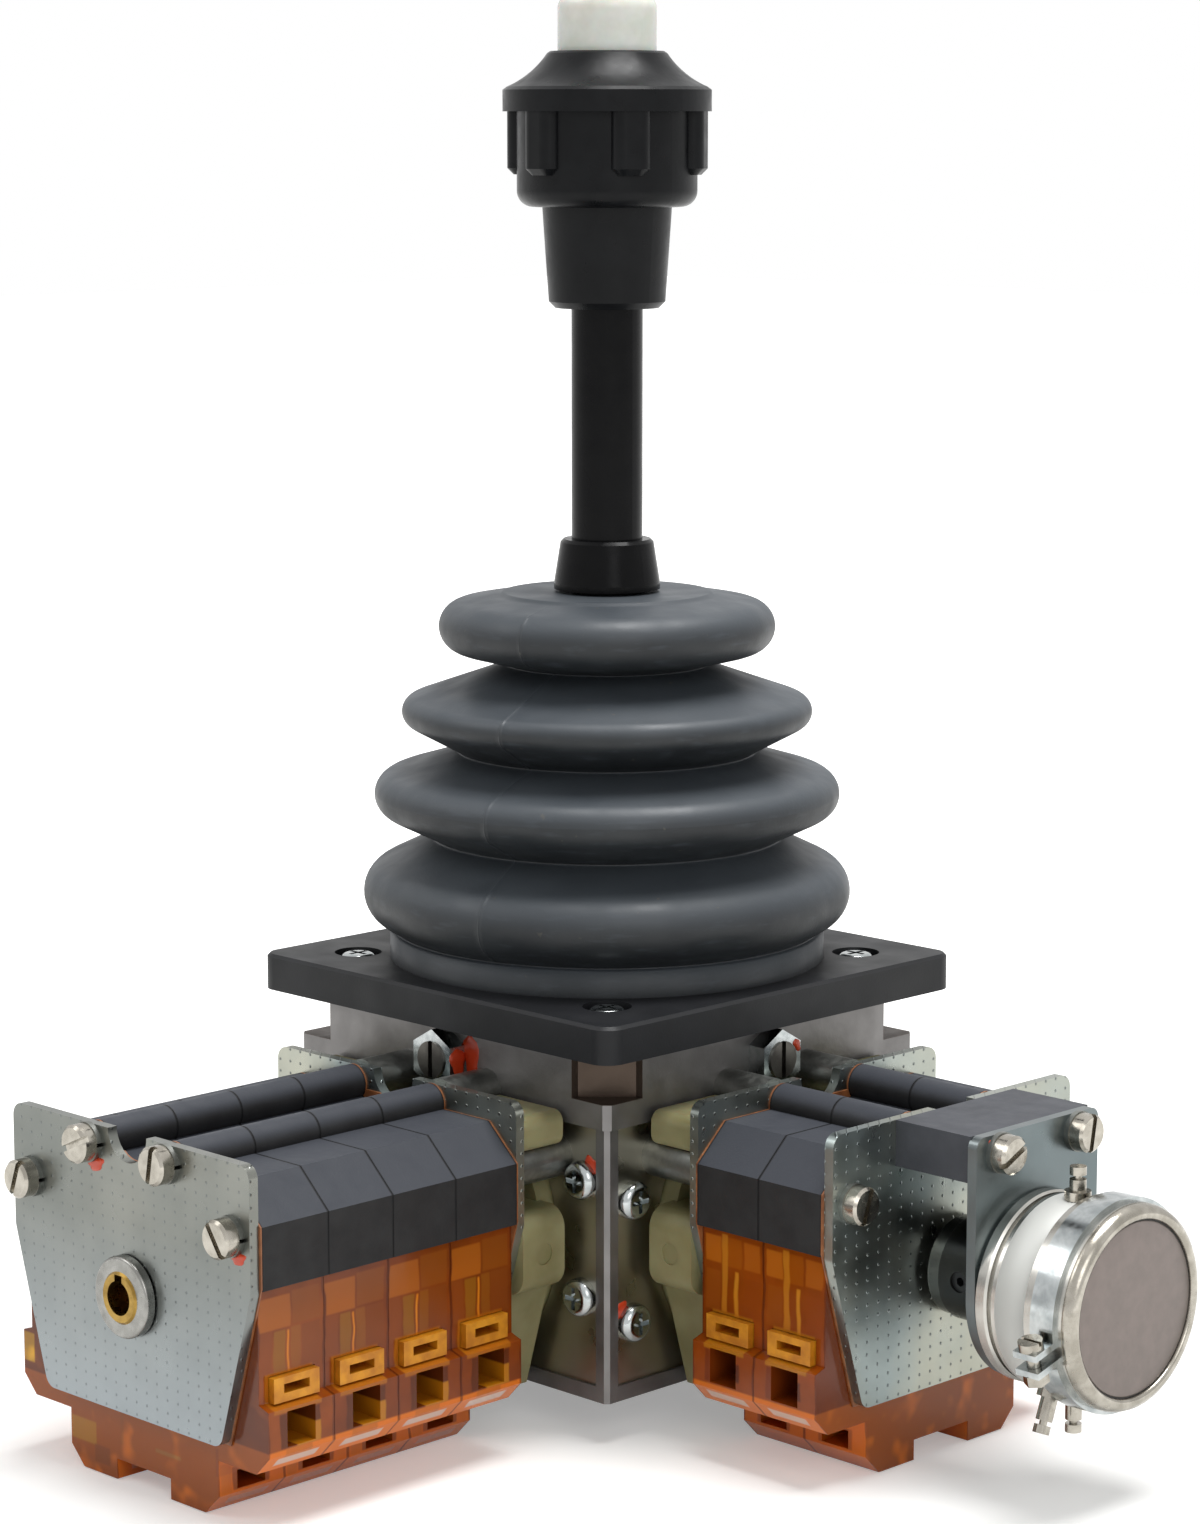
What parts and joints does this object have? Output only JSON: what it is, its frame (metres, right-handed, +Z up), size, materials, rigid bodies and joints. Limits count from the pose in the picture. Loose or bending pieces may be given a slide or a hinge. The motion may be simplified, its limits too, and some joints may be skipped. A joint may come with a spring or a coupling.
{
  "type": "joystick",
  "caption": "Two-axis industrial joystick for panel mounting: lever with grip and push button, rubber bellows, cam-switch stacks and a potentiometer on the crossed shafts.",
  "frame": {"origin": "centre of the mounting plate's underside, which lies on the panel", "axes": "+Z up the lever, +X towards the short switch stack with the potentiometer, -Y towards the long switch stack"},
  "size_m": [0.1786, 0.1706, 0.2645],
  "materials": {
    "plate_black": "satin black",
    "housing_cast": "as cast, dull grey",
    "zinc_plate": "zinc plated",
    "screw_nickel": "bright plated",
    "shaft_steel": "ground",
    "spring_steel": "drawn",
    "bellows_rubber": "moulded, satin",
    "nylon_cream": "moulded nylon",
    "bush_bronze": "turned",
    "contact_slate": "moulded",
    "contact_amber": "see-through amber moulding",
    "sheet_brown": "laminate",
    "block_black": "moulded",
    "pot_metal": "satin",
    "cam_nylon": "moulded",
    "lever_black": "glossy",
    "grip_black": "satin gloss",
    "button_white": "glossy"
  },
  "bodies": {
    "housing": {"mounting_plate": "plate_black", "plate_screws": "screw_nickel", "upper_housing": "housing_cast", "lower_housing": "housing_cast", "face_plate_front": "zinc_plate", "face_plate_right": "zinc_plate", "face_screws": "screw_nickel", "stop_screws": "screw_nickel", "stop_nuts": "screw_nickel", "bellows": "bellows_rubber", "bearing_carrier_front": "nylon_cream", "bearing_carrier_right": "nylon_cream", "shaft_bushes": "bush_bronze", "return_spring_front": "spring_steel", "return_spring_right": "spring_steel", "inner_plate_front": "zinc_plate", "inner_plate_right": "zinc_plate", "outer_plate_front": "zinc_plate", "outer_plate_right": "zinc_plate", "insulating_sheets": "sheet_brown", "contact_terminals": "bush_bronze", "tie_screws_front": "screw_nickel", "tie_screws_right": "screw_nickel", "lock_washers": "spring_steel", "spacer_tubes": "zinc_plate", "spacer_block": "block_black", "pot_bracket": "zinc_plate", "pot_case": "pot_metal", "pot_cover": "pot_metal", "pot_clamp_band": "screw_nickel", "pot_clamp_screw": "screw_nickel", "pot_terminals": "bush_bronze", "contact_top_front_1": "contact_slate", "contact_base_front_1": "contact_amber", "contact_top_front_2": "contact_slate", "contact_base_front_2": "contact_amber", "contact_top_front_3": "contact_slate", "contact_base_front_3": "contact_amber", "contact_top_front_4": "contact_slate", "contact_base_front_4": "contact_amber", "contact_top_right_1": "contact_slate", "contact_base_right_1": "contact_amber", "contact_top_right_2": "contact_slate", "contact_base_right_2": "contact_amber"},
    "x_axis": {"shaft_x": "shaft_steel", "cams_x": "cam_nylon", "shaft_coupling": "block_black", "coupling_screw": "screw_nickel", "pot_shaft": "shaft_steel"},
    "lever": {"lever_rod": "lever_black", "cross_pin": "shaft_steel", "rod_collar": "lever_black", "grip": "grip_black", "grip_cap": "grip_black", "button_spring": "spring_steel"},
    "y_axis": {"shaft_y": "shaft_steel", "cams_y": "cam_nylon", "shaft_collar": "shaft_steel", "shaft_end_bush": "bush_bronze"},
    "push_button": {"button": "button_white"}
  },
  "joints": [
    {"name": "tilt_x", "type": "hinge", "parent": "housing", "child": "x_axis", "pos_m": [0, 0, -0.0372], "axis": [1, 0, 0], "range_deg": [-20, 20], "stiffness_Nm_per_rad": 1.6, "deforming": ["bellows"]},
    {"name": "tilt_y", "type": "hinge", "parent": "x_axis", "child": "lever", "pos_m": [0, 0, -0.0372], "axis": [0, 1, 0], "range_deg": [-20, 20], "stiffness_Nm_per_rad": 1.6, "deforming": ["bellows"]},
    {"name": "y_shaft_turn", "type": "hinge", "parent": "housing", "child": "y_axis", "pos_m": [0, 0, -0.0372], "axis": [0, 1, 0], "range_deg": [-20, 20]},
    {"name": "button_press", "type": "slide", "parent": "lever", "child": "push_button", "axis": [0, 0, -1], "range_m": [0, 0.003], "stiffness_N_per_m": 600, "deforming": ["button_spring"]}
  ],
  "couplings": [
    {"joint": "y_shaft_turn", "follows": "tilt_y", "ratio": 1}
  ]
}
